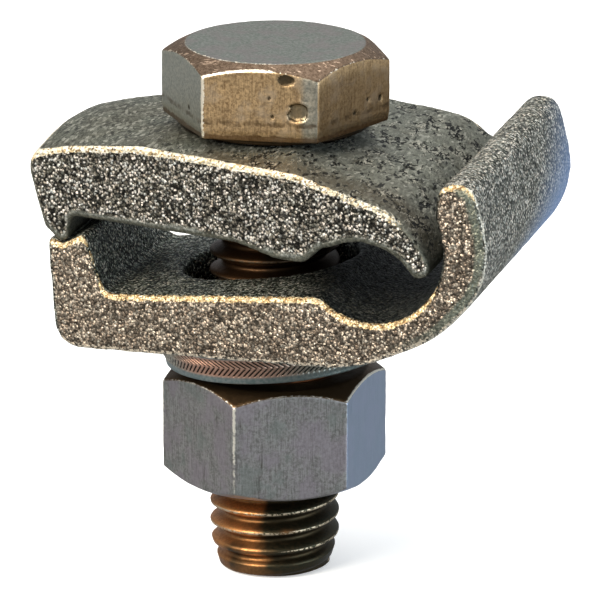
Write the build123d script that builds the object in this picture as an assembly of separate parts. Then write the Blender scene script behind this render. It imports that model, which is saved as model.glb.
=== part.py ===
"""Bolted bronze ground clamp: two hinged cast jaws, hex bolt, conical lock washer and hex nut.

All lengths are in millimetres. The pieces are laid out around the bolt's axis (x = y = 0, z up
towards the bolt's head) and moved on export, so that the origin is the conductor groove's centre.
"""
from build123d import *
from math import radians, tan
import os

os.makedirs("parts", exist_ok=True)

# Driving dimensions ---------------------------------------------------------------------------
# Hardware: half-inch coarse-thread hex bolt and nut, 3/4 inch across flats
PITCH = 25.4 / 13
CREST_R = 6.3
THREAD_DEPTH = 0.6134 * PITCH
ROOT_R = CREST_R - THREAD_DEPTH
THREAD_PLAY = 0.1              # radial play between the bolt's and the nut's threads
THREAD_PHASE = -21.31          # height of the thread's crest on the +x side
BOLT_LENGTH = 44.45
END_R, END_TAPER = 5.4, 3.0    # the threaded end's radius, and the height over which it tapers
ACROSS_FLATS = 19.05
HEAD_HEIGHT = 7.3
HEAD_INSET, HEAD_BEVEL = 0.95, 27.5  # end face inside the flats, and the corner cone's slope
HEAD_ANGLE = 8.0               # turn of the head's corners about the bolt's axis
COLLAR_R = 9.2                 # washer face under the head
COLLAR_HEIGHT = 0.4
NUT_HEIGHT = 11.1
NUT_INSET, NUT_BEVEL = 0.6, 30.0
NUT_ANGLE = 26.0

# Heights on the bolt's axis
HEAD_SEAT_Z = 17.95            # where the head's washer face bears on the upper jaw
NUT_TOP_Z = -6.35

# Jaws
TILT = 5.0                     # lower jaw's floor against the plane square to the bolt
PIVOT_X, PIVOT_Z = -18.5, 7.75 # centre of the upper jaw's round heel, in the lower jaw's V notch
HEEL_R = 0.85
GROOVE_X, GROOVE_Z = 13.3, 7.4 # centre of the conductor groove between the jaws
RECESS_R = 7.1                 # lower half of the groove
ROOF_R = 6.06                  # upper half of the groove
FLOOR_BOTTOM_Z = -2.05         # underside of the lower jaw, in its own level frame
WIDE = 16.6                    # half width of both jaws at the groove
NARROW = 9.3                   # half width at the heel
CROWN = 1.1                    # rise of the upper jaw's back, from its edges to the middle
BOLT_HOLE_R = 6.8
SLOT_R = 6.9
SLOT_TRAVEL = 3.4              # between the centres of the slot's two round ends

# Lock washer
WASHER_TOP_R = 11.7
WASHER_LIP_R = 11.0
WASHER_HOLE_R = 6.9
WASHER_RIM_HEIGHT = 3.1
WASHER_HUB_R = 7.9
WASHER_HUB_HEIGHT = 3.4
SEAT_GAP = 0.03                # between faces that bear on each other


def outline(points):
    """Closed face in the x-z plane from (x, z, corner radius) points."""
    corners = [(x, z) for x, z, r in points]
    radii = [r for x, z, r in points]
    return Plane.XZ * make_face(FilletPolyline(*corners, radius=radii, close=True))


def disc(x, z, r):
    """Round face in the x-z plane."""
    return Plane.XZ * (Pos(x, z) * Circle(r))


def through(face, half=2 * WIDE):
    """Prism of a face in the x-z plane, both ways along y."""
    return extrude(face, half, both=True)


def level(shape):
    """Tilt a shape from the lower jaw's level frame into the bolt's frame."""
    return Rot(Y=-TILT) * shape


def plan_prism():
    """Common outline of both jaws from above: narrow at the heel and wide at the groove."""
    side = [(-24, NARROW - 0.8, 0), (-19.5, NARROW, 20), (9, WIDE - 0.9, 30), (30, WIDE + 0.5, 0)]
    points = side + [(x, -y, r) for x, y, r in reversed(side)]
    edge = FilletPolyline(*[(x, y) for x, y, r in points], radius=[r for x, y, r in points], close=True)
    return extrude(make_face(edge), 40, both=True)


# Castings -------------------------------------------------------------------------------------
def make_upper_jaw():
    back = HEAD_SEAT_Z + 0.1
    body = outline([
        (-18.9, 7.4, 0), (-20.2, 7.95, 0.5), (-21.8, 13.3, 3), (-21.9, 15.4, 1.8), (-17.5, 16.5, 6),
        (-5.5, back, 20), (3.0, back, 12), (15.2, 14.75, 6), (18.2, 12.2, 4), (20.45, 8.4, 1.0),
        (17.6, 8.4, 0), (15, 9, 0), (9.3, 10.5, 0), (7.3, 8.6, 1.5), (4.6, 8.55, 5), (0.4, 9.56, 6), (-17.45, 9.56, 0.5),
        (-17.8, 7.7, 0),
    ])
    roof = disc(12.96, 5.21, ROOF_R)
    heel = disc(PIVOT_X, PIVOT_Z, HEEL_R)
    jaw = through(body - roof + heel) & plan_prism()
    # the back falls away in an arc towards the front and rear edges
    crown = Plane.YZ * make_face([
        ThreePointArc((-WIDE, HEAD_SEAT_Z - CROWN), (0, HEAD_SEAT_Z), (WIDE, HEAD_SEAT_Z - CROWN)),
        Line((WIDE, HEAD_SEAT_Z - CROWN), (WIDE, 0)),
        Line((WIDE, 0), (-WIDE, 0)),
        Line((-WIDE, 0), (-WIDE, HEAD_SEAT_Z - CROWN)),
    ])
    jaw = jaw & extrude(crown, 30, both=True)
    return jaw - Cylinder(BOLT_HOLE_R, 60)


def make_lower_jaw():
    body = outline([
        (-19.25, 9.15, 0.3), (-19.45, FLOOR_BOTTOM_Z, 2.6), (12.6, FLOOR_BOTTOM_Z, 16), (20.4, 0.75, 14),
        (25.0, 5.1, 8), (26.35, 9.4, 9), (25.1, 16.0, 1.8), (22.0, 15.6, 1.6), (21.25, 13.4, 5),
        (21.7, 9.4, 0), (14.7, 6.0, 0), (9.4, 4.8, 0), (-13.6, 3.55, 1.2), (-15.2, 9.5, 0.5),
        (-17.75, 8.25, 0),
    ])
    recess = disc(14.7, 9.5, RECESS_R)
    slot = extrude(SlotCenterToCenter(SLOT_TRAVEL, SLOT_R * 2), 20, both=True)
    jaw = level(through(body - recess))
    return (jaw & plan_prism()) - level(slot)


# Hardware -------------------------------------------------------------------------------------
def thread_ridge(bottom, top, root_r, crest_r, root_width, crest_width):
    """Helical ridge in step with THREAD_PHASE, from below bottom to above top."""
    first = THREAD_PHASE + PITCH * ((bottom - THREAD_PHASE) // PITCH - 1)
    section = Plane.XZ * make_face(Polyline(
        (root_r, -root_width / 2), (crest_r, -crest_width / 2),
        (crest_r, crest_width / 2), (root_r, root_width / 2), close=True))
    path = Helix(PITCH, top - first + 2 * PITCH, root_r)
    return Pos(0, 0, first) * sweep(section, path=path, is_frenet=True)


def hexagon(bottom, height, angle, inset, bevel, both_ends):
    """Hexagonal prism whose corners are turned down by a cone at the top, or at both ends."""
    corner_r = ACROSS_FLATS / 3 ** 0.5
    face_r = ACROSS_FLATS / 2 - inset
    outer_r = corner_r + 1
    drop = (outer_r - face_r) * tan(radians(bevel))
    top = bottom + height
    turned = [(0, bottom), (face_r, bottom), (outer_r, bottom + drop if both_ends else bottom),
              (outer_r, top - drop), (face_r, top), (0, top)]
    prism = Pos(0, 0, bottom) * Rot(Z=angle) * extrude(RegularPolygon(corner_r, 6), height)
    return prism & revolve(Plane.XZ * make_face(Polyline(*turned, close=True)), Axis.Z)


def make_bolt():
    end = HEAD_SEAT_Z - BOLT_LENGTH
    under_head = HEAD_SEAT_Z + COLLAR_HEIGHT
    core = Pos(0, 0, (end + HEAD_SEAT_Z) / 2) * Cylinder(ROOT_R, BOLT_LENGTH + 0.2)
    shank = core + thread_ridge(end, HEAD_SEAT_Z - 2 * PITCH, ROOT_R - 0.15, CREST_R,
                                0.85 * PITCH, 0.125 * PITCH)
    # square cut end with a tapered start for the nut
    taper_z = end + END_TAPER
    cutter = Plane.XZ * make_face(Polyline(
        (0, end), (END_R, end), (CREST_R, taper_z), (CREST_R + 2, taper_z),
        (CREST_R + 2, end - 4 * PITCH), (0, end - 4 * PITCH), close=True))
    shank = shank - revolve(cutter, Axis.Z)
    collar = Pos(0, 0, HEAD_SEAT_Z + COLLAR_HEIGHT / 2) * Cylinder(COLLAR_R, COLLAR_HEIGHT)
    return shank + collar + hexagon(under_head, HEAD_HEIGHT, HEAD_ANGLE, HEAD_INSET, HEAD_BEVEL, False)


def make_nut():
    bottom = NUT_TOP_Z - NUT_HEIGHT
    blank = hexagon(bottom, NUT_HEIGHT, NUT_ANGLE, NUT_INSET, NUT_BEVEL, True)
    minor_r = ROOT_R + 0.15 + THREAD_PLAY
    blank = blank - Pos(0, 0, NUT_TOP_Z - NUT_HEIGHT / 2) * Cylinder(minor_r, NUT_HEIGHT + 2)
    blank = blank - thread_ridge(bottom, NUT_TOP_Z, minor_r - 0.05, CREST_R + THREAD_PLAY,
                                 0.88 * PITCH, 0.25 * PITCH)
    # countersinks at both mouths of the thread
    for z, way in ((NUT_TOP_Z, 1), (bottom, -1)):
        mouth = Polyline((0, z + way * 0.01), (CREST_R + 0.3, z + way * 0.01),
                         (minor_r, z - way * 0.9), (0, z - way * 0.9), close=True)
        blank = blank - revolve(Plane.XZ * make_face(mouth), Axis.Z)
    return blank


def make_washer():
    top = FLOOR_BOTTOM_Z - SEAT_GAP
    lip = top - WASHER_RIM_HEIGHT
    hub = top - WASHER_HUB_HEIGHT
    section = outline([
        (WASHER_HOLE_R, top, 0), (WASHER_TOP_R - 0.3, top, 0.2), (WASHER_TOP_R, top - 0.6, 0.3),
        (WASHER_LIP_R, lip, 0.4), (WASHER_LIP_R - 0.9, lip, 0.3), (9.4, lip + 0.9, 0.2),
        (8.6, lip + 0.9, 0.2), (WASHER_HUB_R, hub, 0.2), (WASHER_HOLE_R, hub, 0),
    ])
    return level(revolve(section, Axis.Z))


PIECES = {
    "lower_jaw": make_lower_jaw,
    "upper_jaw": make_upper_jaw,
    "hex_bolt": make_bolt,
    "lock_washer": make_washer,
    "hex_nut": make_nut,
}
for name, make in PIECES.items():
    export_step(Pos(-GROOVE_X, 0, -GROOVE_Z) * make(), f"parts/{name}.step")
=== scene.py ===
from math import atan2, cos, pi, radians, sin, tan

import bmesh
import bpy
import numpy as np
from mathutils import Matrix, Vector
from mathutils.kdtree import KDTree


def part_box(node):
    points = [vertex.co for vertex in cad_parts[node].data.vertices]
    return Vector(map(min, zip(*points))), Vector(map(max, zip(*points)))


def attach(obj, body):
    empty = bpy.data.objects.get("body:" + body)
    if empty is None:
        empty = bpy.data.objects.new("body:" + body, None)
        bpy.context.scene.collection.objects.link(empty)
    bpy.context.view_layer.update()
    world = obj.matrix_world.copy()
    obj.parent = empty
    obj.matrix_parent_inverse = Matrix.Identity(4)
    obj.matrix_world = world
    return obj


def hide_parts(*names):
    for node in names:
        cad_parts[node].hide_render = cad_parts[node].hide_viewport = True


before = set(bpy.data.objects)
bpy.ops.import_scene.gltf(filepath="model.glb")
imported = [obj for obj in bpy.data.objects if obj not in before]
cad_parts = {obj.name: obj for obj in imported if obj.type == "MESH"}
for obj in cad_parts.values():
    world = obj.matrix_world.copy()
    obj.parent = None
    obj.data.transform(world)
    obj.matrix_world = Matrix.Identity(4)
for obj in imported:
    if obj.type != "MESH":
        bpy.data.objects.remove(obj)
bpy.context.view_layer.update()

# Shapes are worked out in millimetres around the bolt's axis and placed in metres at the end --------
MM = 0.001
PITCH = 25.4 / 13
CREST_R = 6.3
ROOT_R = CREST_R - 0.6134 * PITCH
HEAD_HEIGHT, COLLAR_HEIGHT, COLLAR_R = 7.3, 0.4, 9.2
HEAD_INSET, HEAD_BEVEL, HEAD_ROUNDING = 0.95, radians(27.5), 0.28
NUT_INSET, NUT_BEVEL, NUT_ROUNDING = 0.6, radians(30), 0.3
APOTHEM = 19.05 / 2
HEAD_ANGLE, NUT_ANGLE = radians(8), radians(26)
# directions that the sides of the head and the nut face, in degrees
HEAD_FRONT, HEAD_LEFT, HEAD_RIGHT = -82, -142, -22
HEAD_BACK, HEAD_BACK_LEFT, HEAD_BACK_RIGHT = 98, 158, 38
NUT_RIGHT = -4
BURR_HEIGHT, BURR_FROM = 0.05, 0.25
TILT = radians(5)

bolt_low, bolt_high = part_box("hex_bolt")
nut_low, nut_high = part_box("hex_nut")
AXIS_X = (nut_low.x + nut_high.x) / 2 / MM
SEAT = 17.95
HEAD_TOP = SEAT + COLLAR_HEIGHT + HEAD_HEIGHT
RISE = bolt_high.z / MM - HEAD_TOP
BOLT_END = bolt_low.z / MM - RISE
END_R, END_TAPER = 5.4, 3.0
NUT_TOP, NUT_BOTTOM = nut_high.z / MM - RISE, nut_low.z / MM - RISE
THREAD_PHASE = -21.31
SHIFT = np.array([AXIS_X, 0, RISE])


# Repeatable noise -------------------------------------------------------------------------------
def lattice(ix, iy, iz, seed):
    """Random number from 0 to 1 for each whole-number lattice point."""
    h = ix * 73856093 ^ iy * 19349663 ^ iz * 83492791 ^ seed * 65537
    h = (h ^ h >> 13) * 1274126177 & 0xFFFFFFFF
    h = (h ^ h >> 16) * 668265263 & 0xFFFFFFFF
    return ((h ^ h >> 15) & 0xFFFF) / 65535.0


def noise(p, size, seed=0):
    """Smooth value noise from -1 to 1 with cells of the given size."""
    q = np.asarray(p, float) / size
    i = np.floor(q).astype(np.int64)
    f = q - i
    f = f * f * f * (f * (f * 6 - 15) + 10)
    total = 0
    for dx in (0, 1):
        for dy in (0, 1):
            for dz in (0, 1):
                w = ((f[..., 0] if dx else 1 - f[..., 0]) * (f[..., 1] if dy else 1 - f[..., 1])
                     * (f[..., 2] if dz else 1 - f[..., 2]))
                total = total + w * lattice(i[..., 0] + dx, i[..., 1] + dy, i[..., 2] + dz, seed)
    return total * 2 - 1


def cells(p, size, seed=0):
    """Distance to the nearest scattered point, as a share of the cell size, and that cell's number."""
    q = np.asarray(p, float) / size
    base = np.floor(q).astype(np.int64)
    best = np.full(len(q), 9.0)
    mark = np.zeros(len(q))
    for dx in (-1, 0, 1):
        for dy in (-1, 0, 1):
            for dz in (-1, 0, 1):
                c = base + (dx, dy, dz)
                at = [c[:, k] + lattice(c[:, 0], c[:, 1], c[:, 2], seed + 11 * k + 1) for k in range(3)]
                d = np.sqrt(sum((q[:, k] - at[k]) ** 2 for k in range(3)))
                near = d < best
                best = np.where(near, d, best)
                mark = np.where(near, lattice(c[:, 0], c[:, 1], c[:, 2], seed + 77), mark)
    return best, mark


def step(low, high, x):
    """0 below low, 1 above high and smooth between."""
    t = np.clip((x - low) / (high - low), 0, 1)
    return t * t * (3 - 2 * t)


# Turned and hexagonal pieces --------------------------------------------------------------------
class Rings:
    """A closed skin from rows of points around an axis, stitched row by row."""

    def __init__(self):
        self.points, self.faces, self.count, self.last = [], [], 0, None

    def add(self, block, shift=0):
        """Rows x columns x 3. With a shift, the last column meets the first one that many rows on."""
        rows, columns = block.shape[:2]
        index = self.count + np.arange(rows * columns).reshape(rows, columns)
        wrapped = index[np.clip(np.arange(rows) - shift, 0, rows - 1), 0]
        index = np.hstack([index, wrapped[:, None]])
        self.points.append(block.reshape(-1, 3))
        self.count += rows * columns
        quads = np.stack([index[:-1, :-1], index[1:, :-1], index[1:, 1:], index[:-1, 1:]], -1)
        self.faces += quads.reshape(-1, 4).tolist()
        if self.last is not None:
            self.stitch(self.last, index[0])
        self.last = index[-1]

    def stitch(self, above, below):
        fine, coarse = len(above) - 1, len(below) - 1
        if fine >= coarse:
            m = fine // coarse
            for j in range(coarse):
                self.faces.append([above[j * m], below[j], below[j + 1]]
                                  + [above[k] for k in range((j + 1) * m, j * m, -1)])
        else:
            m = coarse // fine
            for j in range(fine):
                self.faces.append([above[j]] + [below[k] for k in range(j * m, (j + 1) * m + 1)]
                                  + [above[j + 1]])

    def close(self):
        """Stitch the last row to the first one, for a piece with a hole through it."""
        self.stitch(self.last, np.append(np.arange(len(self.last) - 1), 0))


def turns(columns):
    return np.arange(columns) * 2 * pi / columns


def row(theta, r, z):
    """Rows of points from radius and height arrays that broadcast over the columns."""
    r, z, t = np.broadcast_arrays(r, z, theta)
    return np.stack([r * np.cos(t), r * np.sin(t), z], -1)


def hexagon_radius(theta, turn, rounding):
    """Distance from the axis to a hexagon's side, with its corners rounded."""
    c = (theta - turn + pi / 6) % (pi / 3) - pi / 6
    flat = APOTHEM / np.cos(pi / 6 - np.abs(c))
    centre = (APOTHEM - rounding) / cos(pi / 6)
    touch = atan2(rounding / 2, centre + rounding * cos(pi / 6))
    arc = centre * np.cos(c) + np.sqrt(np.maximum(rounding ** 2 - (centre * np.sin(c)) ** 2, 0))
    return np.where(np.abs(c) < touch, arc, flat)


def soften(block, passes):
    """Round the edges between rows, leaving the first and last row."""
    block = block.copy()
    for _ in range(passes):
        block[1:-1] = (block[:-2] + 2 * block[1:-1] + block[2:]) / 4
    return block


def thread_radius(theta, z, root, crest):
    """Radius of the thread's rounded profile at an angle and a height."""
    t = np.abs((z - THREAD_PHASE) / PITCH - theta / (2 * pi) + 0.5) % 1
    t = np.abs(t - 0.5)
    flank = 1 - step(0.05, 0.43, t)
    return root + (crest - root) * (0.35 * flank + 0.65 * np.clip((0.42 - t) / 0.36, 0, 1))


def helix(columns, top, bottom, per_pitch):
    """Heights of rows that climb with the thread, and how many rows make one turn."""
    dz = PITCH / per_pitch
    rows = int((top - bottom + PITCH) / dz) + 2
    z = top - np.arange(rows)[:, None] * dz + PITCH * turns(columns)[None] / (2 * pi)
    return np.clip(z, bottom, top), per_pitch


def mesh_piece(name, points, faces):
    """Mesh object from millimetre points around the bolt's axis, in metres in the shared frame."""
    mesh = bpy.data.meshes.new(name)
    mesh.from_pydata(((points + SHIFT) * MM).tolist(), [], faces)
    obj = bpy.data.objects.new(name, mesh)
    bpy.context.scene.collection.objects.link(obj)
    return obj


def weld(obj):
    bm = bmesh.new()
    bm.from_mesh(obj.data)
    bmesh.ops.remove_doubles(bm, verts=bm.verts, dist=2e-7)
    bmesh.ops.dissolve_degenerate(bm, dist=1e-8, edges=bm.edges)
    bm.to_mesh(obj.data)
    bm.free()


def shade_smooth(obj):
    obj.data.polygons.foreach_set("use_smooth", [True] * len(obj.data.polygons))
    obj.data.update()


def attribute(obj, name, values):
    a = obj.data.attributes.new(name, "FLOAT", "POINT")
    a.data.foreach_set("value", np.asarray(values, np.float32))


def local_points(obj):
    """The piece's points in millimetres around the bolt's axis."""
    co = np.empty(len(obj.data.vertices) * 3)
    obj.data.vertices.foreach_get("co", co)
    return co.reshape(-1, 3) / MM - SHIFT


def set_points(obj, p):
    obj.data.vertices.foreach_set("co", ((p + SHIFT) * MM).ravel())
    obj.data.update()


def normals(obj):
    n = np.empty(len(obj.data.vertices) * 3, np.float32)
    obj.data.vertex_normals.foreach_get("vector", n)
    return n.reshape(-1, 3).astype(float)


def finish_piece(obj, node, body):
    shade_smooth(obj)
    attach(obj, body)
    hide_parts(node)
    return obj


# Hex bolt ---------------------------------------------------------------------------------------
def make_bolt():
    columns = 480
    t = turns(columns)[None]
    side = hexagon_radius(t, HEAD_ANGLE, HEAD_ROUNDING)
    face_r = APOTHEM - HEAD_INSET
    slope = tan(HEAD_BEVEL)
    wobble = noise(row(t, 10.0, 0.0), 1.6, 5) * 0.05 + noise(row(t, 10.0, 0.0), 0.35, 6) * 0.02
    under = SEAT + COLLAR_HEIGHT
    skin = Rings()

    top_r = np.concatenate([[0], np.linspace(0.6, 3.4, 6), np.linspace(3.6, face_r, 32)])[:, None]
    top = row(t, top_r, HEAD_TOP)
    u = np.linspace(0, 1, 13)[1:, None]
    r = face_r + (side - face_r) * u
    chamfer = row(t, r, HEAD_TOP - (r - face_r) * slope + wobble * u)
    v = np.linspace(0, 1, 44)[1:, None]
    edge_z = HEAD_TOP - (side - face_r) * slope + wobble
    z = edge_z + (under - edge_z) * v
    tuck = 0.10 * step(0.8, 0.6, z - under)
    walls = row(t, side - tuck, z)
    w = np.linspace(0, 1, 9)[1:, None]
    bottom = row(t, side - 0.10 + (COLLAR_R - side + 0.10) * w, under)
    collar = row(t, COLLAR_R, under - np.linspace(0, COLLAR_HEIGHT, 5)[1:, None])
    head = soften(np.concatenate([top, chamfer, walls, bottom, collar]), 2)
    skin.add(head)
    skin.add(row(t, np.linspace(COLLAR_R, ROOT_R + 0.6, 4)[1:, None], SEAT))

    columns = 160
    t = turns(columns)[None]
    skin.add(row(t, ROOT_R, SEAT))
    z, per_turn = helix(columns, SEAT, BOLT_END, 12)
    depth = step(SEAT - PITCH, SEAT - 2.5 * PITCH, z)
    r = ROOT_R + (thread_radius(t, z, ROOT_R, CREST_R) - ROOT_R) * depth
    r = np.minimum(r, END_R + (CREST_R - END_R) * (z - BOLT_END) / END_TAPER)
    skin.add(row(t, r, z), per_turn)
    end_r = np.linspace(END_R, 0, 9)[1:, None]
    skin.add(row(t, end_r, BOLT_END))

    obj = mesh_piece("hex_bolt_detailed", np.concatenate(skin.points), skin.faces)
    weld(obj)
    p = local_points(obj)
    n = normals(obj)
    head_part = p[:, 2] > SEAT - 0.05
    radius = np.hypot(p[:, 0], p[:, 1])
    angle = np.arctan2(p[:, 1], p[:, 0])
    # knocks in the sides: side, distance along it, height, half width, half height and depth;
    # one deeper than BURR_FROM has a low burr around it
    pits = [
        (HEAD_FRONT, 3.62, 21.25, 0.95, 0.85, 0.30),
        (HEAD_FRONT, 2.4, 24.4, 0.8, 0.55, 0.14),
        (HEAD_FRONT, 1.2, 20.85, 0.22, 0.22, 0.08),
        (HEAD_FRONT, 0.9, 22.6, 0.2, 0.2, 0.05),
        (HEAD_RIGHT, 4.0, 20.9, 0.28, 0.34, 0.1),
        (HEAD_RIGHT, 2.1, 21.1, 0.2, 0.25, 0.08),
        (HEAD_RIGHT, 0.1, 20.2, 0.3, 0.2, 0.05),
        (HEAD_LEFT, 2.0, 20.6, 0.3, 0.25, 0.05),
        (HEAD_BACK, -2.0, 22.4, 0.5, 0.35, 0.1),
        (HEAD_BACK_LEFT, 1.0, 21.0, 0.6, 0.3, 0.08),
        (HEAD_BACK_RIGHT, -1.5, 23.0, 0.35, 0.5, 0.1),
    ]
    pit = np.zeros(len(p))
    for face, along, height, wide, tall, deep in pits:
        outward = np.array([cos(radians(face)), sin(radians(face)), 0])
        tangent = np.array([-outward[1], outward[0], 0])
        d = p - (outward * APOTHEM + tangent * along + (0, 0, height))
        a = np.hypot(d @ tangent / wide, d[:, 2] / tall)
        a = a * (1 + 0.2 * noise(p, 0.5, 21))
        near = (np.abs(d @ outward) < 1.2) & head_part
        dip = step(1.1, 0.75, a) * near
        burr = np.exp(-((a - 1.15) / 0.13) ** 2) * near * BURR_HEIGHT
        p -= n * (dip * deep - burr * (deep > BURR_FROM))[:, None]
        pit = np.maximum(pit, dip * min(1, deep / 0.2))
    # uneven faces and turned rings on the end face of the head
    on_top = head_part & (n[:, 2] > 0.9)
    wave = 0.03 * noise(p, 3.0, 8) + 0.012 * noise(p, 0.8, 9)
    p += n * (wave * head_part)[:, None]
    p[:, 2] += on_top * 0.006 * np.sin(radius * 2 * pi / 0.55)
    set_points(obj, p)
    # where the finish changes: rubbed edges with a painted highlight, strongest on the lit left corner and
    # the front, a cooler grey on the left sides with a lilac patina band on the front, and painted shade
    # low on the right sides
    middle = (np.floor((angle - HEAD_ANGLE) / (pi / 3)) + 0.5) * pi / 3 + HEAD_ANGLE
    along = radius * np.sin(angle - middle)
    c = (angle - HEAD_ANGLE + pi / 6) % (pi / 3) - pi / 6

    def on_side(direction, at=middle):
        return np.cos(at - radians(direction)) > 0.95

    front = on_side(HEAD_FRONT) & head_part
    left_corner, right_corner = on_side(HEAD_FRONT - 30, angle - c), on_side(HEAD_FRONT + 30, angle - c)
    sharp = np.where(left_corner, 1.0, np.where(right_corner, 0.12, 0.45))
    sharp = sharp * np.where(left_corner, 0.8 + 0.2 * step(21, 22.5, p[:, 2]), 1)
    corner = np.exp(-(c * radius / 0.26) ** 2) * head_part * (np.abs(n[:, 2]) < 0.5) * sharp
    edge_z = HEAD_TOP - (hexagon_radius(angle, HEAD_ANGLE, HEAD_ROUNDING) - face_r) * slope
    rim = np.exp(-((p[:, 2] - edge_z) / 0.15) ** 2) * head_part * (radius > face_r + 0.3)
    rim *= 0.5 + 0.5 * front * step(1.7, 0.6, along)
    ring = 0.66 * np.exp(-((radius - face_r) / 0.12) ** 2) * head_part * (n[:, 2] > 0.8)
    ring *= step(0.0, 0.9, -np.sin(angle + 0.5))
    # bright edges: rubbing plus a painted highlight, brighter on the lit corner, rims and one side of the
    # top ring
    attribute(obj, "wear_and_highlight", np.maximum(np.maximum(corner, rim), ring))
    attribute(obj, "pit", pit)
    # a painted shade ring around each knock
    attribute(obj, "pit_edge", 4 * pit * (1 - pit))
    attribute(obj, "head", head_part)
    attribute(obj, "slope", n[:, 2] * head_part)
    upright = head_part & (p[:, 2] < edge_z + 0.05)
    lilac = front * step(3.6, 4.4, along) * 0.8
    attribute(obj, "cool", np.maximum(on_side(HEAD_LEFT) + 0.7 * on_side(HEAD_BACK_LEFT), lilac) * upright)
    # painted shade on the right and back-right sides, darker further below the chamfer
    dim = (on_side(HEAD_RIGHT) + 0.7 * on_side(HEAD_BACK_RIGHT)) * step(0.3, 1.5, edge_z - p[:, 2])
    attribute(obj, "dim", dim * upright)
    attribute(obj, "low", np.clip((p[:, 2] - under) / 4, 0, 1))
    # the collar under the head takes a painted shadow
    attribute(obj, "collar", step(under + 0.02, under - 0.02, p[:, 2]) * head_part)
    # painted shade on the right side of the thread
    right_shade = step(0.0, 0.5, np.cos(angle - radians(-5))) * ~head_part
    attribute(obj, "right_shade", right_shade * step(END_R - 1.2, END_R - 0.4, radius))
    # painted shade on the thread inside the jaws
    attribute(obj, "hidden", step(-7.5, -5.5, p[:, 2]) * ~head_part)
    # painted highlight along the thread crests and the rim of the end
    tip = np.exp(-((p[:, 2] - BOLT_END - 0.08) / 0.12) ** 2) * (radius > END_R - 0.25)
    crest = step(CREST_R - 0.07, CREST_R - 0.01, radius) * ~head_part
    attribute(obj, "crest", np.maximum(crest, 0.8 * tip))
    # painted shade in the thread roots
    attribute(obj, "depth", step(CREST_R - 0.3, ROOT_R + 0.1, radius) * ~head_part)
    return obj


# Hex nut ----------------------------------------------------------------------------------------
def make_nut():
    columns = 480
    t = turns(columns)[None]
    side = hexagon_radius(t, NUT_ANGLE, NUT_ROUNDING)
    face_r = APOTHEM - NUT_INSET
    slope = tan(NUT_BEVEL)
    wobble = noise(row(t, 10.0, 0.0), 1.8, 15) * 0.04
    mouth_r = CREST_R + 0.3
    skin = Rings()
    top = row(t, np.linspace(mouth_r, face_r, 9)[:, None], NUT_TOP)
    u = np.linspace(0, 1, 11)[1:, None]
    r = face_r + (side - face_r) * u
    upper = row(t, r, NUT_TOP - (r - face_r) * slope + wobble * u)
    z0 = NUT_TOP - (side - face_r) * slope + wobble
    z1 = NUT_BOTTOM + (side - face_r) * slope + wobble
    v = np.linspace(0, 1, 58)[1:, None]
    walls = row(t, side, z0 + (z1 - z0) * v)
    r = face_r + (side - face_r) * u[::-1]
    lower = row(t, r, NUT_BOTTOM + (r - face_r) * slope + wobble * u[::-1])
    bottom = row(t, np.linspace(face_r, mouth_r, 9)[:, None], NUT_BOTTOM)
    skin.add(soften(np.concatenate([top, upper, walls, lower, bottom]), 2))
    inner = 160
    t = turns(inner)[None]
    minor = ROOT_R + 0.25
    deep = 0.9
    z, per_turn = helix(inner, NUT_TOP - 0.02, NUT_BOTTOM + 0.02, 12)
    z = z[::-1]
    r = thread_radius(t, z, minor, CREST_R + 0.14)
    flare = np.maximum(step(deep, 0, NUT_TOP - z), step(deep, 0, z - NUT_BOTTOM))
    r = np.maximum(r, minor + (mouth_r - minor) * flare)
    skin.add(row(t, r, z), -per_turn)
    skin.close()
    obj = mesh_piece("hex_nut_detailed", np.concatenate(skin.points), skin.faces)
    weld(obj)
    p, n = local_points(obj), normals(obj)
    radius, angle = np.hypot(p[:, 0], p[:, 1]), np.arctan2(p[:, 1], p[:, 0])
    outside = radius > mouth_r + 0.3
    p += n * ((0.02 * noise(p, 2.6, 41) + 0.008 * noise(p, 0.7, 42)) * outside)[:, None]
    set_points(obj, p)
    c = (angle - NUT_ANGLE + pi / 6) % (pi / 3) - pi / 6
    corner = np.exp(-(c * radius / 0.26) ** 2) * (np.abs(n[:, 2]) < 0.5) * outside
    side = hexagon_radius(angle, NUT_ANGLE, NUT_ROUNDING)
    z0 = NUT_TOP - (side - face_r) * slope
    z1 = NUT_BOTTOM + (side - face_r) * slope
    rim = np.maximum(np.exp(-((p[:, 2] - z0) / 0.13) ** 2), 0.35 * np.exp(-((p[:, 2] - z1) / 0.13) ** 2))
    right_corner = np.cos(angle - c - radians(NUT_RIGHT - 30)) > 0.95
    corner *= np.where(right_corner, 0.12, 0.6 + 0.3 * step(NUT_BOTTOM, NUT_TOP, p[:, 2]))
    middle = (np.floor((angle - NUT_ANGLE) / (pi / 3)) + 0.5) * pi / 3 + NUT_ANGLE
    right_side = np.cos(middle - radians(NUT_RIGHT)) > 0.9
    rim *= np.where(right_side, 1.0, 0.62)
    # bright edges: rubbing plus a painted highlight, faint on the right corner and brighter on the right
    # side's rim
    attribute(obj, "wear_and_highlight", np.maximum(corner, rim * outside * (radius > face_r + 0.3)))
    # painted reflection of the cool fill light on the right sides
    attribute(obj, "cool", right_side)
    attribute(obj, "inside", ~outside)
    attribute(obj, "slope", n[:, 2] * outside)
    return obj


# Lock washer ------------------------------------------------------------------------------------
WASHER_TOP_Z, WASHER_LIP_Z, WASHER_HUB_Z = -2.08, -5.18, -5.48
WASHER_TOP_R, WASHER_LIP_R, WASHER_HOLE_R = 11.7, 11.0, 6.9
RIBS = 132


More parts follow.
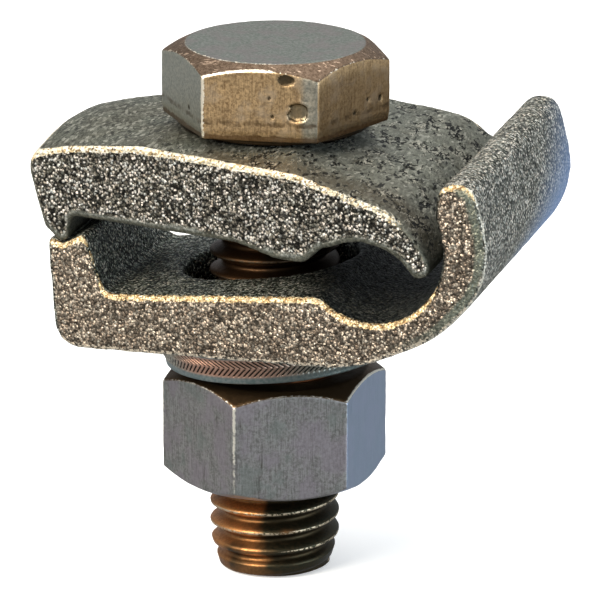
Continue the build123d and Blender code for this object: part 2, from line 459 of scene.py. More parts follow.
def make_washer():
    t = turns(RIBS * 8)[None]
    height = np.linspace(0, 1, 30)[:, None]
    z = WASHER_TOP_Z - 0.12 + (WASHER_LIP_Z - WASHER_TOP_Z + 0.24) * height
    r = WASHER_TOP_R - 0.1 * step(0.35, 0, height * 2.9)
    r = r - (WASHER_TOP_R - WASHER_LIP_R) * step(0.12, 1, height) ** 0.9
    upper = step(0.13, 0.2, height) * step(0.45, 0.4, height)
    lower = step(0.42, 0.48, height) * step(0.80, 0.72, height)
    lean = 2.0 / RIBS * 2 * pi
    upper_rib = np.cos(RIBS * (t - lean * (height - 0.43) / 0.29))
    lower_rib = np.cos(RIBS * (t + lean * (height - 0.43) / 0.36))
    knurl = 0.10 * (upper * (upper_rib - 0.6) + lower * (lower_rib - 0.6))
    skin = Rings()
    face = row(t, np.linspace(WASHER_HOLE_R, WASHER_TOP_R - 0.22, 10)[:, None], WASHER_TOP_Z)
    side = row(t, r + knurl, z)
    flat = [(WASHER_LIP_R - 0.25, WASHER_LIP_Z), (WASHER_LIP_R - 0.9, WASHER_LIP_Z),
            (10.0, WASHER_LIP_Z + 0.15), (9.7, WASHER_LIP_Z + 0.6),
            (9.4, WASHER_LIP_Z + 0.85), (8.9, WASHER_LIP_Z + 0.88),
            (8.5, WASHER_LIP_Z + 0.7), (8.2, WASHER_LIP_Z + 0.1), (7.95, WASHER_HUB_Z + 0.03),
            (7.8, WASHER_HUB_Z), (7.1, WASHER_HUB_Z), (WASHER_HOLE_R, WASHER_HUB_Z + 0.12)]
    under = np.concatenate([row(t, ri, zi) for ri, zi in flat])
    hole = row(t, WASHER_HOLE_R, np.linspace(WASHER_HUB_Z + 0.4, WASHER_TOP_Z - 0.3, 6)[:, None])
    skin.add(face)
    skin.add(side)
    skin.add(under)
    skin.add(hole)
    skin.close()
    points = np.concatenate(skin.points)
    turn = np.array(Matrix.Rotation(-TILT, 3, "Y"))
    obj = mesh_piece("lock_washer_detailed", points @ turn.T, skin.faces)
    level = points
    radius = np.hypot(level[:, 0], level[:, 1])
    share = (WASHER_TOP_Z - level[:, 2]) / (WASHER_TOP_Z - WASHER_LIP_Z)
    band = step(0.12, 0.2, share) * step(0.82, 0.72, share) * (radius > WASHER_LIP_R - 0.2)
    # the knurl's grooves carry painted shade
    groove = np.zeros(len(points))
    start = 10 * t.size
    groove[start:start + knurl.size] = np.clip(-knurl / 0.15, 0, 1).ravel()
    attribute(obj, "band", band)
    attribute(obj, "groove", groove)
    around = np.arctan2(level[:, 1], level[:, 0])
    # painted shade on the right side
    attribute(obj, "right_shade", step(-0.3, 0.7, np.cos(around - radians(-10))))
    # painted warm highlight on the band where it faces the front
    attribute(obj, "copper", step(0.75, 0.97, np.cos(around - radians(-96))))
    # painted shade on the underside
    attribute(obj, "under", step(0.9, 1.05, share) + (radius < WASHER_LIP_R - 0.5) * (share > 0.5))
    return obj


# Cast jaws --------------------------------------------------------------------------------------
def remeshed(node, voxel):
    """Copy of a CAD node with even small faces, in millimetres around the bolt's axis."""
    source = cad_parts[node]
    mesh = source.data.copy()
    obj = bpy.data.objects.new(node + "_detailed", mesh)
    bpy.context.scene.collection.objects.link(obj)
    mesh.materials.clear()
    co = np.empty(len(mesh.vertices) * 3)
    mesh.vertices.foreach_get("co", co)
    mesh.vertices.foreach_set("co", ((co.reshape(-1, 3) / MM - SHIFT)).ravel())
    mesh.update()
    modifier = obj.modifiers.new("even", "REMESH")
    modifier.mode = "VOXEL"
    modifier.voxel_size = voxel
    graph = bpy.context.evaluated_depsgraph_get()
    even = bpy.data.meshes.new_from_object(obj.evaluated_get(graph))
    obj.modifiers.clear()
    obj.data = even
    bpy.data.meshes.remove(mesh)
    return obj


class Smoother:
    """Averages each point with its neighbours along the edges."""

    def __init__(self, mesh):
        e = np.empty(len(mesh.edges) * 2, np.int64)
        mesh.edges.foreach_get("vertices", e)
        self.a, self.b = e.reshape(-1, 2).T
        self.n = len(mesh.vertices)
        self.share = np.bincount(self.a, minlength=self.n) + np.bincount(self.b, minlength=self.n)

    def mean(self, v):
        total = [np.bincount(self.a, v[:, k][self.b], self.n) + np.bincount(self.b, v[:, k][self.a], self.n)
                 for k in range(v.shape[1])]
        return np.stack(total, -1) / self.share[:, None]

    def relax(self, v, passes, amount=0.5):
        for _ in range(passes):
            v = v + (self.mean(v) - v) * amount
        return v


def raw_points(mesh):
    co = np.empty(len(mesh.vertices) * 3)
    mesh.vertices.foreach_get("co", co)
    return co.reshape(-1, 3)


def raw_normals(mesh, p):
    mesh.vertices.foreach_set("co", p.ravel())
    mesh.update()
    n = np.empty(len(mesh.vertices) * 3, np.float32)
    mesh.vertex_normals.foreach_get("vector", n)
    return n.reshape(-1, 3).astype(float)


def cast_jaw(node, voxel, rounding):
    """A jaw with rounded edges, and its convexity, normals and points."""
    obj = remeshed(node, voxel)
    smoother = Smoother(obj.data)
    p = smoother.relax(raw_points(obj.data), rounding)
    n = raw_normals(obj.data, p)
    wide = smoother.relax(n, 10)
    convex = np.einsum("ij,ij->i", smoother.relax(p, 20) - p, -n)
    return obj, smoother, p, n, wide, convex


def side_view_distance(p, here, there):
    """Distance, seen from the side, from each point of one region to the nearest point of another."""
    near = p[there]
    tree = KDTree(len(near))
    for i, (x, _, z) in enumerate(near):
        tree.insert((x, 0, z), i)
    tree.balance()
    away = np.full(len(p), 9.0)
    away[here] = [tree.find((x, 0, z))[2] for x, _, z in p[here]]
    return away


def finish_jaw(obj, p, marks):
    obj.data.vertices.foreach_set("co", ((p + SHIFT) * MM).ravel())
    obj.data.update()
    for name, values in marks.items():
        attribute(obj, name, values)


def make_upper_jaw():
    obj, smoother, p, n, wide, convex = cast_jaw("upper_jaw", 0.25, 9)
    side = step(0.80, 0.95, np.abs(n[:, 1])) * step(-0.30, -0.16, wide[:, 2])
    back_skin = step(0.2, 0.6, n[:, 2])
    # a smooth rounded border along the underside
    border = side_view_distance(p, side > 0.3, (n[:, 2] < -0.6) & (np.abs(p[:, 1]) < 6))
    border = step(0.85, 0.45, border + 0.12 * noise(p, 0.5, 13)) * (side > 0.3)
    soft = np.clip(smoother.relax(border[:, None], 6), 0, 1)
    p = p + (smoother.relax(p, 14) - p) * soft
    side = side * (1 - border)
    lumps, _ = cells(p, 0.62, 3)
    p = p + n * (side * (0.07 * (0.55 - lumps) + 0.05 * noise(p, 0.9, 4)))[:, None]
    # the heel's back is fuller in the middle
    p[:, 2] += 0.75 * back_skin * step(-11.5, -17, p[:, 0]) * np.clip(1 - (p[:, 1] / 9.0) ** 2, 0, 1)
    # the far edge of the back falls away less
    p[:, 2] += 0.65 * back_skin * step(7, 14, p[:, 0]) * step(4, 14, p[:, 1])
    rough = np.clip(0.5 + 0.9 * noise(p, 6.0, 12) + 0.05 * (p[:, 0] + p[:, 1] * 0.4), 0, 1)
    warm = step(4.5, 0.5, np.abs(p[:, 1] + 14.5 - 0.1 * p[:, 0]))
    pits, which = cells(p * (0.8, 1.3, 1.0), 1.15, 6)
    hollow = step(0.36, 0.18, pits + 0.14 * noise(p, 0.4, 14)) * (which > 0.55) * rough
    relief = 0.05 * noise(p, 3.2, 7) + 0.03 * noise(p, 0.9, 17) * rough - 0.12 * hollow
    p = p + n * (back_skin * relief)[:, None]
    marks = {
        "grain": side, "top": back_skin, "convex": np.clip(convex / 0.12, -1, 1),
        "rough": rough, "hollow": hollow * back_skin, "warm": warm, "up": wide[:, 2],
        "strip": 1 - 0.44 * step(3, 12, p[:, 0]) - 0.5 * step(15.5, 18, p[:, 0]), "border": border,
    }
    finish_jaw(obj, p, marks)
    return obj


def make_lower_jaw():
    obj, smoother, p, n, wide, convex = cast_jaw("lower_jaw", 0.27, 8)
    side = step(0.80, 0.95, np.abs(n[:, 1]))
    # the horn's outer front edge is rounded off and smooth
    outside = (n[:, 0] > 0.35) & (p[:, 0] > 15) & (np.abs(p[:, 1]) < 8)
    border = side_view_distance(p, (side > 0.3) & (p[:, 0] > 14), outside)
    border = step(1.15, 0.85, border + 0.1 * noise(p, 0.5, 29)) * step(0.5, 5.5, p[:, 2]) * (side > 0.3)
    soft = np.clip(smoother.relax(border[:, None], 6), 0, 1)
    p = p + (smoother.relax(p, 22) - p) * soft
    lumps, _ = cells(p, 0.55, 23)
    p = p + n * (side * (0.05 * (0.55 - lumps) + 0.04 * noise(p, 0.9, 24)))[:, None]
    p = p + n * ((1 - side) * (0.03 * noise(p, 2.5, 27) + 0.025 * noise(p, 0.55, 28)))[:, None]
    near_side = np.clip(smoother.relax(side[:, None], 14)[:, 0] * 4, 0, 1)
    p[:, 2] += 0.3 * step(12, 15, p[:, 2]) * step(-10, 16, p[:, 1])
    facing_out = (step(0.3, 0.6, n[:, 0]) * (p[:, 0] > 17) + step(-0.35, -0.6, n[:, 2])
                  + (p[:, 2] > 13) * step(0.2, 0.5, n[:, 2]))
    outer = np.clip(facing_out * (1 - step(0, -3, p[:, 0] - 20) * step(0, 3, p[:, 2] - 4)), 0, 1)
    # a painted highlight along the horn's outer front ridge
    turned = raw_normals(obj.data, p)
    edge = np.exp(-((np.abs(turned[:, 1]) - 0.42) / 0.22) ** 2) * step(0.1, 0.5, turned[:, 0])
    edge *= p[:, 0] > 17
    marks = {
        "grain": side * (1 - border), "outer": outer, "convex": np.clip(convex / 0.12, -1, 1),
        "up": wide[:, 2], "near_side": near_side, "band": border, "edge": edge * (p[:, 1] < 0),
        # painted light from the cool fill on the horn's outer side, low down
        "blue": step(12, -2, p[:, 2] - 0.6 * p[:, 1]) * step(0.2, 0.7, n[:, 0]) * (p[:, 0] > 17),
        # painted shade deeper into the groove
        "deep": step(4, 9, p[:, 0]),
    }
    finish_jaw(obj, p, marks)
    return obj


# Materials --------------------------------------------------------------------------------------
class Graph:
    """Short names for building a node material."""

    def __init__(self, name):
        self.material = bpy.data.materials.new(name)
        self.material.use_nodes = True
        self.nodes, self.links = self.material.node_tree.nodes, self.material.node_tree.links
        self.shader = self.nodes["Principled BSDF"]

    def put(self, value, socket):
        if isinstance(value, bpy.types.NodeSocket):
            self.links.new(value, socket)
        elif value is not None:
            socket.default_value = value

    def node(self, kind, inputs=(), **settings):
        n = self.nodes.new(kind)
        for k, v in settings.items():
            setattr(n, k, v)
        for key, value in dict(inputs).items():
            self.put(value, n.inputs[key])
        return n

    def place(self):
        return self.node("ShaderNodeTexCoord").outputs["Object"]

    def stretch(self, vector, scale):
        return self.node("ShaderNodeVectorMath", {0: vector, 1: scale}, operation="MULTIPLY").outputs[0]

    def mark(self, name):
        return self.node("ShaderNodeAttribute", attribute_name=name).outputs["Fac"]

    def math(self, operation, a, b=None, clamp=False):
        return self.node("ShaderNodeMath", {0: a, 1: b}, operation=operation, use_clamp=clamp).outputs[0]

    def times(self, a, b):
        return self.math("MULTIPLY", a, b)

    def plus(self, a, b):
        return self.math("ADD", a, b)

    def minus(self, a, b):
        return self.math("SUBTRACT", a, b)

    def fit(self, value, low, high, to_low=0.0, to_high=1.0):
        return self.node("ShaderNodeMapRange", {0: value, 1: low, 2: high, 3: to_low, 4: to_high},
                         interpolation_type="SMOOTHSTEP").outputs[0]

    def mix(self, share, a, b, blend="MIX"):
        n = self.node("ShaderNodeMix", data_type="RGBA", blend_type=blend)
        self.put(share, n.inputs[0])
        self.put(colour(a), n.inputs[6])
        self.put(colour(b), n.inputs[7])
        return n.outputs[2]

    def noise(self, vector, size_mm, detail=3.0, rough=0.5, stretch=(1, 1, 1)):
        scaled = self.stretch(vector, tuple(s / (size_mm * MM) for s in stretch))
        return self.node("ShaderNodeTexNoise", {"Vector": scaled, "Scale": 1.0, "Detail": detail,
                                                "Roughness": rough}).outputs[0]

    def vector(self, operation, a, b):
        return self.node("ShaderNodeVectorMath", {0: a, 1: b}, operation=operation).outputs

    def grains(self, vector, size_mm, wobble=0.35):
        """Scattered cells: distance from the middle, random colour, and each cell's tipped height."""
        scaled = self.stretch(vector, (1 / (size_mm * MM),) * 3)
        bend = self.node("ShaderNodeTexNoise", {"Vector": scaled, "Scale": 0.9, "Detail": 1.0})
        bend = self.vector("MULTIPLY", bend.outputs["Color"], (wobble,) * 3)[0]
        scaled = self.vector("ADD", scaled, bend)[0]
        n = self.node("ShaderNodeTexVoronoi", {"Vector": scaled, "Scale": 1.0}, feature="F1")
        away = self.vector("SUBTRACT", scaled, n.outputs["Position"])[0]
        lean = self.vector("SUBTRACT", n.outputs["Color"], (0.5, 0.5, 0.5))[0]
        return n.outputs["Distance"], n.outputs["Color"], self.vector("DOT_PRODUCT", away, lean)[1]

    def channels(self, value):
        return self.node("ShaderNodeSeparateColor", {0: value}).outputs

    def ramp(self, share, stops):
        n = self.node("ShaderNodeValToRGB", {0: share})
        ramp = n.color_ramp
        while len(ramp.elements) < len(stops):
            ramp.elements.new(0.5)
        for element, (at, value) in zip(ramp.elements, stops):
            element.position = at
            element.color = colour(value)
        return n.outputs[0]

    def bump(self, height, distance_mm, strength=1.0, normal=None):
        return self.node("ShaderNodeBump", {"Height": height, "Distance": distance_mm * MM,
                                            "Strength": strength, "Normal": normal}).outputs[0]


def linear(c):
    """Linear value of an 8-bit display value."""
    c = c / 255
    return c / 12.92 if c <= 0.04045 else ((c + 0.055) / 1.055) ** 2.4


def colour(value):
    if isinstance(value, tuple) and len(value) == 3:
        return (*(linear(c) for c in value), 1.0)
    return value


def metal(graph, base, roughness, metallic, normal, **sockets):
    s = graph.shader
    graph.put(base, s.inputs["Base Color"])
    graph.put(roughness, s.inputs["Roughness"])
    graph.put(metallic, s.inputs["Metallic"])
    graph.put(normal, s.inputs["Normal"])
    for name, value in sockets.items():
        s.inputs[name].default_value = value
    return graph.material


def grain_colours(g, place, size, dark, middle, light, spark, gap=0.9):
    """Cast grain: one tone for each crystal with dark gaps between, and the crystals' relief."""
    distance, tint, facet = g.grains(place, size, 0.9)
    r, green, blue = g.channels(tint)[:3]
    clump = g.times(g.minus(g.noise(place, size * 5, 2.0), 0.5), 0.8)
    stops = [(0.0, dark), (0.25, middle), (0.62, light), (0.84, spark), (1.0, spark)]
    tone = g.ramp(g.plus(r, clump), stops)
    tone = g.mix(g.times(green, 0.3), tone, (255, 212, 186), "MULTIPLY")
    tone = g.mix(g.times(blue, 0.22), tone, (190, 224, 232), "MULTIPLY")
    _, fine_tint, _ = g.grains(place, size * 0.6)
    tone = g.mix(g.fit(g.channels(fine_tint)[0], 0.55, 1.0, 0.0, 0.75), tone, dark)
    tone = g.mix(g.fit(distance, 0.42, 0.66, 0.0, gap), tone, (8, 8, 6))
    height = g.minus(g.times(facet, 1.5), g.times(distance, 0.8))
    return tone, height


def ragged(g, place, value, low, high, spread=1.0):
    """A mask with a broken edge."""
    rough = g.times(g.minus(g.noise(place, 0.35, 3.0), 0.5), spread)
    return g.times(g.fit(g.plus(value, rough), low, high), g.fit(value, 0.05, 0.3))


def upper_material():
    g = Graph("upper_cast_bronze")
    at = g.place()
    grain, up = g.mark("grain"), g.mark("up")
    grained, relief = grain_colours(
        g, at, 0.25, (40, 38, 32), (104, 102, 92), (176, 171, 158), (255, 252, 244))
    skin_noise = g.noise(at, 0.30, 4.0, 0.75, (1, 0.6, 1))
    blotch = g.noise(at, 5.0, 3.0)
    skin = g.ramp(skin_noise, [(0.30, (54, 55, 46)), (0.46, (100, 102, 90)), (0.60, (126, 127, 114)),
                               (0.72, (170, 171, 156))])
    _, crystal, _ = g.grains(g.stretch(at, (1.0, 0.4, 1.0)), 0.25, 0.9)
    crystal = g.channels(crystal)[0]
    skin = g.mix(g.fit(crystal, 0.35, 0.0, 0.0, 0.7), skin, (36, 36, 30))
    skin = g.mix(g.fit(crystal, 0.72, 1.0, 0.0, 0.6), skin, (200, 198, 184))
    skin = g.mix(g.fit(blotch, 0.4, 0.65, 0.0, 0.2), skin, (100, 88, 70))
    skin = g.mix(g.fit(g.mark("rough"), 0.3, 1.0, 0.0, 0.22), skin, (182, 184, 170))
    skin = g.mix(g.times(g.mark("warm"), 0.6), skin, (84, 72, 52))
    _, speck, _ = g.grains(g.stretch(at, (1.0, 0.5, 1.0)), 0.34, 1.2)
    speck = g.fit(g.channels(speck)[1], 0.90, 0.96)
    # dark seams around islands of the cast skin, with a painted highlight along their lips
    island = g.math("ABSOLUTE", g.minus(g.noise(at, 0.95, 3.0, 0.65, (0.8, 0.5, 1)), 0.48))
    gate = g.times(g.fit(g.noise(at, 1.5, 3.0, 0.6, (0.8, 0.5, 1)), 0.49, 0.57),
                  g.fit(g.mark("rough"), 0.2, 0.6))
    crack = g.times(g.fit(island, 0.040, 0.016), gate)
    lip = g.times(g.times(g.fit(island, 0.045, 0.065), g.fit(island, 0.115, 0.08)), gate)
    skin = g.mix(g.times(lip, g.fit(crystal, 0.3, 0.7, 0.1, 0.6)), skin, (214, 208, 190))
    crack = g.math("MAXIMUM", crack, g.times(speck, g.fit(g.mark("rough"), 0.0, 1.0, 0.5, 0.9)))
    skin = g.mix(crack, skin, (9, 9, 7))
    skin = g.mix(g.times(g.mark("hollow"), 0.6), skin, (30, 30, 24))
    plain = g.mix(g.fit(skin_noise, 0.35, 0.7), (74, 76, 66), (128, 127, 114))
    smooth = g.mix(g.fit(skin_noise, 0.38, 0.66), (84, 88, 82), (170, 172, 164))
    plain = g.mix(g.mark("border"), plain, smooth)
    base = g.mix(g.mark("top"), plain, skin)
    base = g.mix(grain, base, grained)
    # bright strip where the back meets the front: rubbing with a painted highlight
    strip = g.times(g.fit(up, 0.12, 0.30), g.fit(up, 0.93, 0.74))
    strip = g.times(g.times(strip, g.fit(g.mark("convex"), 0.1, 0.4)), g.mark("strip"))
    strip = ragged(g, at, strip, 0.36, 0.62, 1.5)
    _, flecks, _ = g.grains(at, 0.2)
    worn_and_lit = g.ramp(g.channels(flecks)[0], [(0.0, (120, 96, 66)), (0.2, (214, 190, 146)),
                                          (0.5, (246, 236, 208)), (1.0, (255, 252, 242))])
    base = g.mix(strip, base, worn_and_lit)
    normal = g.bump(g.plus(skin_noise, g.times(crystal, 0.35)), 0.16, 0.9)
    normal = g.bump(g.times(crack, -1.0), 0.22, 1.0, normal)
    normal = g.bump(g.times(relief, grain), 0.16, 1.0, normal)
    return metal(g, base, 0.5, 0.8, normal)


def lower_material():
    g = Graph("lower_cast_bronze")
    at = g.place()
    grain, up = g.mark("grain"), g.mark("up")
    grained, relief = grain_colours(
        g, at, 0.23, (78, 69, 58), (120, 109, 96), (152, 140, 125), (240, 226, 206), 0.6)
    outside, _ = grain_colours(
        g, at, 0.23, (74, 78, 70), (136, 138, 127), (196, 196, 182), (255, 252, 240), 0.8)
    # painted cool fill light on the horn's outer side
    outside = g.mix(g.times(g.mark("blue"), 0.8), outside, (150, 180, 226))
    inner, _ = grain_colours(
        g, at, 0.23, (30, 36, 28), (100, 110, 98), (176, 184, 170), (250, 252, 240), 0.95)
    # painted shade deeper into the groove
    inner = g.mix(g.times(g.mark("deep"), 0.75), inner, (16, 20, 18))
    shell = g.mix(g.mark("outer"), inner, outside)
    base = g.mix(grain, shell, grained)
    # bright strip on the upward-facing front edges: rubbing with a painted highlight
    strip = g.times(g.fit(up, 0.12, 0.4), g.fit(g.mark("convex"), 0.1, 0.5))
    strip = g.times(strip, g.mark("near_side"))
    strip = ragged(g, at, strip, 0.42, 0.62, 1.5)
    _, flecks, _ = g.grains(at, 0.2)
    worn_and_lit = g.ramp(g.channels(flecks)[0], [(0.0, (120, 92, 60)), (0.25, (206, 172, 122)),
                                          (0.6, (238, 212, 164)), (1.0, (255, 240, 206))])
    base = g.mix(strip, base, worn_and_lit)
    foot = g.times(g.fit(up, -0.2, -0.4), g.fit(up, -0.8, -0.6))
    foot = g.times(g.times(foot, g.fit(g.mark("convex"), 0.1, 0.4)), g.mark("near_side"))
    foot = g.times(ragged(g, at, foot, 0.45, 0.7, 1.8), g.fit(g.channels(flecks)[1], 0.35, 0.6, 0.0, 0.85))
    base = g.mix(foot, base, (240, 224, 200))
    smooth = g.mix(g.fit(g.noise(at, 0.3, 4.0, 0.7), 0.36, 0.66), (92, 96, 84), (148, 150, 134))
    base = g.mix(g.times(g.mark("band"), 0.92), base, smooth)
    # painted highlight along the horn's outer front ridge
    line = g.times(g.fit(g.mark("edge"), 0.3, 0.6), g.fit(g.channels(flecks)[1], 0.2, 0.5, 0.35, 0.95))
    base = g.mix(line, base, (246, 240, 222))
    normal = g.bump(g.noise(at, 0.7, 5.0, 0.6), 0.05, 0.6)
    normal = g.bump(relief, 0.12, 0.9, normal)
    return metal(g, base, 0.5, 0.8, normal)


def brushed(g, place, pale, dark, size=0.10):
    """Fine drawn lines along the bolt's axis over a soft mottle."""
    brush = g.noise(place, size, 2.0, 0.6, (1, 1, 0.06))
    streak = g.noise(place, 0.6, 3.0, 0.6, (1, 1, 0.10))
    mottle = g.noise(place, 0.28, 4.0, 0.75)
    share = g.plus(g.times(brush, 0.30),
                   g.plus(g.times(streak, 0.15), g.times(mottle, 0.55)))
    return g.mix(g.fit(share, 0.36, 0.62), dark, pale), brush, mottle


def chipped_edge(g, place, size, roughness, spread, high):
    """Where the bright edges show, part rubbing and part painted highlight, with breaks in them."""
    breaks = g.times(g.minus(g.noise(place, size, 3.0, roughness), 0.5), spread)
    worn_and_lit = g.fit(g.plus(g.mark("wear_and_highlight"), breaks), 0.5, high)
    return g.times(worn_and_lit, g.fit(g.mark("wear_and_highlight"), 0.1, 0.3))


def bolt_material():
    g = Graph("bolt_metal")
    at = g.place()
    head, slope, low = g.mark("head"), g.mark("slope"), g.mark("low")
    side, brush, mottle = brushed(g, at, (216, 182, 136), (152, 122, 86))
    blotch = g.noise(at, 2.2, 4.0, 0.6)
    side = g.mix(g.fit(blotch, 0.48, 0.66, 0.0, 0.6), side, (204, 180, 150))
    cool = g.mix(g.fit(mottle, 0.35, 0.65), (138, 146, 138), (176, 178, 168))
    side = g.mix(g.math("MULTIPLY", g.mark("cool"), 0.88, True), side, cool)
    # painted shade on the right sides
    side = g.mix(g.times(g.mark("dim"), 0.55), side, (104, 78, 48))
    # near the seat: a dark stain line, a brassy band, and the side going brown and darker towards the seat
    rough_low = g.plus(low, g.times(g.minus(g.noise(at, 0.8, 4.0, 0.7, (1, 1, 2)), 0.5), 0.22))
    line = g.times(g.fit(rough_low, 0.34, 0.40), g.fit(rough_low, 0.52, 0.44))
    line = g.times(line, g.fit(g.noise(at, 1.4, 3.0), 0.42, 0.6, 0.1, 0.65))
    side = g.mix(line, side, (84, 64, 42))
    side = g.mix(g.times(g.fit(rough_low, 0.17, 0.10), 0.75), side, (92, 64, 38))
    cap = g.mix(g.fit(mottle, 0.35, 0.65), (104, 112, 104), (146, 148, 142))
    cap = g.mix(g.fit(blotch, 0.42, 0.62, 0.0, 0.5), cap, (138, 128, 128))
    copper = g.mix(g.fit(mottle, 0.35, 0.65), (92, 74, 58), (132, 112, 94))
    scratch = g.fit(g.noise(at, 0.35, 3.0, 0.6, (0.25, 1, 1)), 0.60, 0.66)
    copper = g.mix(g.times(scratch, 0.8), copper, (220, 192, 166))
    base = g.mix(g.fit(slope, 0.3, 0.6), side, copper)
    base = g.mix(g.fit(slope, 0.93, 0.985), base, cap)
    # bright edges: rubbing with a painted highlight
    base = g.mix(chipped_edge(g, at, 0.3, 0.7, 1.3, 0.7), base, (255, 244, 222))
    base = g.mix(g.times(g.mark("pit"), 0.75), base, (124, 112, 88))
    # painted shade ring around the knocks
    base = g.mix(g.times(g.fit(g.mark("pit_edge"), 0.3, 0.8), 0.85), base, (56, 46, 32))
    # painted shadow on the collar under the head
    base = g.mix(g.times(g.mark("collar"), 0.9), base, (40, 32, 22))
    # the thread's flanks go dark on the right with painted shade
    patch = g.fit(g.minus(g.noise(at, 4.5, 3.0, 0.5), g.times(g.mark("right_shade"), 0.38)), 0.24, 0.48)
    flank = g.mix(patch, (54, 56, 44), (206, 142, 86))
    flank = g.mix(g.fit(mottle, 0.35, 0.65, 0.0, 0.45), flank, (88, 70, 48))
    # painted shade in the thread roots
    thread = g.mix(g.times(g.mark("depth"), 0.45), flank, (60, 44, 26))
    # painted highlight on the crests, broken by nicks
    nick = g.fit(g.noise(at, 0.3, 3.0, 0.7), 0.42, 0.54)
    thread = g.mix(g.times(g.fit(g.mark("crest"), 0.4, 0.9), nick), thread, (214, 196, 166))
    # painted shade on the thread inside the jaws
    thread = g.mix(g.times(g.mark("hidden"), 0.88), thread, (66, 50, 36))
    base = g.mix(head, thread, base)
    rough = g.fit(mottle, 0.3, 0.7, 0.34, 0.5)
    rough = g.mix(g.fit(slope, 0.3, 0.6), rough, (190, 190, 190))
    normal = g.bump(brush, 0.014, 0.7)
    normal = g.bump(mottle, 0.04, 0.6, normal)
    return metal(g, base, rough, 0.95, normal)


def nut_material():
    g = Graph("nut_metal")
    at = g.place()
    side, brush, mottle = brushed(g, at, (172, 170, 166), (126, 122, 118), 0.13)
    blotch = g.noise(at, 3.0, 4.0, 0.6)
    side = g.mix(g.fit(blotch, 0.45, 0.62, 0.0, 0.5), side, (168, 156, 164))
    side = g.mix(g.fit(blotch, 0.45, 0.36, 0.0, 0.4), side, (140, 150, 142))
    streak = g.fit(g.noise(at, 1.1, 4.0, 0.7, (1, 1, 0.12)), 0.56, 0.68)
    line = g.times(streak, g.fit(brush, 0.5, 0.35, 0.2, 1.0))
    side = g.mix(g.times(line, 0.75), side, (80, 74, 62))
    # painted cool reflection on the right sides
    side = g.mix(g.times(g.mark("cool"), 0.6), side, (176, 198, 228))
    base = g.mix(g.fit(g.mark("slope"), 0.2, 0.5), side, (96, 76, 54))
    # bright edges: rubbing with a painted highlight
    base = g.mix(chipped_edge(g, at, 0.4, 0.6, 0.8, 0.75), base, (255, 248, 232))
    base = g.mix(g.mark("inside"), base, (120, 76, 46))
    normal = g.bump(brush, 0.008, 0.5)
    normal = g.bump(mottle, 0.035, 0.5, normal)
    return metal(g, base, g.fit(mottle, 0.3, 0.7, 0.34, 0.46), 0.95, normal)


def washer_material():
    g = Graph("washer_metal")
    at = g.place()
    tone = g.noise(at, 0.3, 4.0, 0.6)
    base = g.mix(g.fit(tone, 0.35, 0.65), (128, 144, 142), (166, 172, 166))
    ribs = g.mix(g.fit(tone, 0.4, 0.6), (176, 166, 150), (236, 226, 206))
    # painted warm highlight on the front of the band
    ribs = g.mix(g.times(g.mark("copper"), 0.75), ribs, (246, 178, 146))
    base = g.mix(g.times(g.mark("band"), 0.9), base, ribs)
    # painted shade in the knurl's grooves
    base = g.mix(g.fit(g.mark("groove"), 0.25, 0.75, 0.0, 0.96), base, (20, 17, 13))
    # painted shade on the right side
    base = g.mix(g.times(g.mark("right_shade"), 0.6), base, (58, 66, 60))
    # painted shade on the underside
    base = g.mix(g.math("MULTIPLY", g.mark("under"), 0.6, True), base, (60, 60, 54))
    return metal(g, base, 0.36, 0.95, g.bump(tone, 0.03, 0.6))


# Build the pieces -------------------------------------------------------------------------------
def build(make, material, node, body):
    obj = make()
    obj.data.materials.clear()
    obj.data.materials.append(material())
    return finish_piece(obj, node, body)


build(make_lower_jaw, lower_material, "lower_jaw", "lower_jaw")
build(make_upper_jaw, upper_material, "upper_jaw", "upper_jaw")
build(make_bolt, bolt_material, "hex_bolt", "bolt")
build(make_nut, nut_material, "hex_nut", "nut")
build(make_washer, washer_material, "lock_washer", "washer")


# Floor, light and camera, in metres -------------------------------------------------------------
FLOOR_HALF, FLOOR_GAP = 4.0, 0.0002
# camera fitted to the photo: its turn about z, rise and roll, and its distance and sideways aim
CAMERA_TURN, CAMERA_RISE, CAMERA_ROLL = radians(16.5), radians(17.153), radians(0.168)
CAMERA_DISTANCE, CAMERA_SIDESTEP, CAMERA_LENS = 0.46759, 0.0024095, 290.9


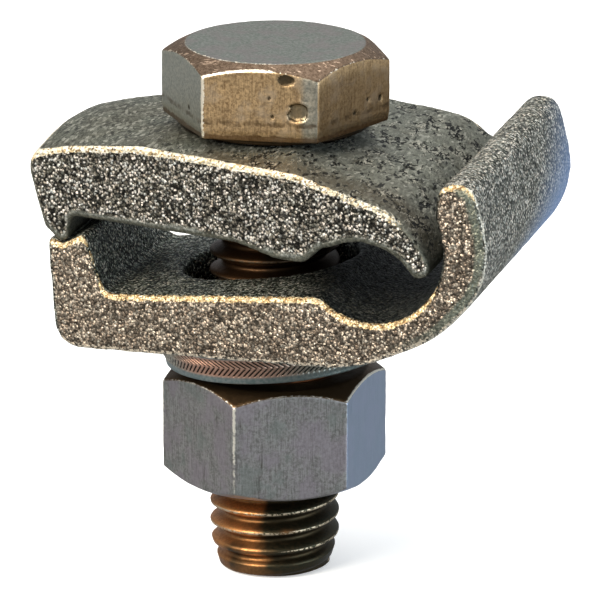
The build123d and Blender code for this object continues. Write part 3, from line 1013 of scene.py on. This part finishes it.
def make_floor():
    size = FLOOR_HALF
    z = bolt_low.z - FLOOR_GAP
    mesh = bpy.data.meshes.new("floor")
    corners = [(-size, -size, z), (size, -size, z), (size, size, z), (-size, size, z)]
    mesh.from_pydata(corners, [], [(0, 1, 2, 3)])
    floor = bpy.data.objects.new("floor", mesh)
    bpy.context.scene.collection.objects.link(floor)
    g = Graph("floor_paper")
    g.put((0.93, 0.93, 0.92, 1), g.shader.inputs["Base Color"])
    g.put((1.0, 1.0, 1.0, 1), g.shader.inputs["Emission Color"])
    g.put(0.4, g.shader.inputs["Emission Strength"])
    g.put(g.fit(g.noise(g.place(), 30, 2.0), 0, 1, 0.85, 0.95), g.shader.inputs["Roughness"])
    mesh.materials.append(g.material)
    floor.visible_glossy = False


def area_light(name, position, size, power, tint, target=Vector((-0.005, 0, -0.005))):
    light = bpy.data.lights.new(name, "AREA")
    light.shape = "RECTANGLE"
    light.size, light.size_y = size
    light.energy = power
    light.color = tint
    obj = bpy.data.objects.new(name, light)
    obj.location = position
    obj.rotation_euler = (target - Vector(position)).to_track_quat("-Z", "Y").to_euler()
    bpy.context.scene.collection.objects.link(obj)


def make_lights():
    world = bpy.data.worlds.new("studio")
    bpy.context.scene.world = world
    world.use_nodes = True
    background = world.node_tree.nodes["Background"]
    background.inputs["Color"].default_value = (0.88, 0.94, 1.0, 1)
    background.inputs["Strength"].default_value = 0.38
    area_light("key", (-0.30, -0.42, 0.36), (0.36, 0.36), 5.8, (1.0, 0.93, 0.82))
    area_light("top", (0.05, 0.25, 0.75), (0.8, 0.8), 4.2, (1.0, 0.98, 0.96))
    area_light("fill", (0.50, -0.14, 0.06), (0.4, 0.4), 2.0, (0.74, 0.87, 1.0))


def make_camera():
    a, e, roll = CAMERA_TURN, CAMERA_RISE, CAMERA_ROLL
    right = Vector((cos(a), sin(a), 0))
    back = Vector((sin(a) * cos(e), -cos(a) * cos(e), sin(e)))
    up = back.cross(right)
    target = Vector((AXIS_X * MM, 0, RISE * MM)) + right * CAMERA_SIDESTEP
    r2 = right * cos(roll) + up * sin(roll)
    u2 = up * cos(roll) - right * sin(roll)
    data = bpy.data.cameras.new("camera")
    data.lens, data.sensor_width = CAMERA_LENS, 36
    camera = bpy.data.objects.new("camera", data)
    turned = Matrix((r2, u2, back)).transposed().to_4x4()
    camera.matrix_world = Matrix.Translation(target + back * CAMERA_DISTANCE) @ turned
    bpy.context.scene.collection.objects.link(camera)
    bpy.context.scene.camera = camera


make_floor()
make_lights()
make_camera()
bpy.context.scene.view_settings.view_transform = "Standard"
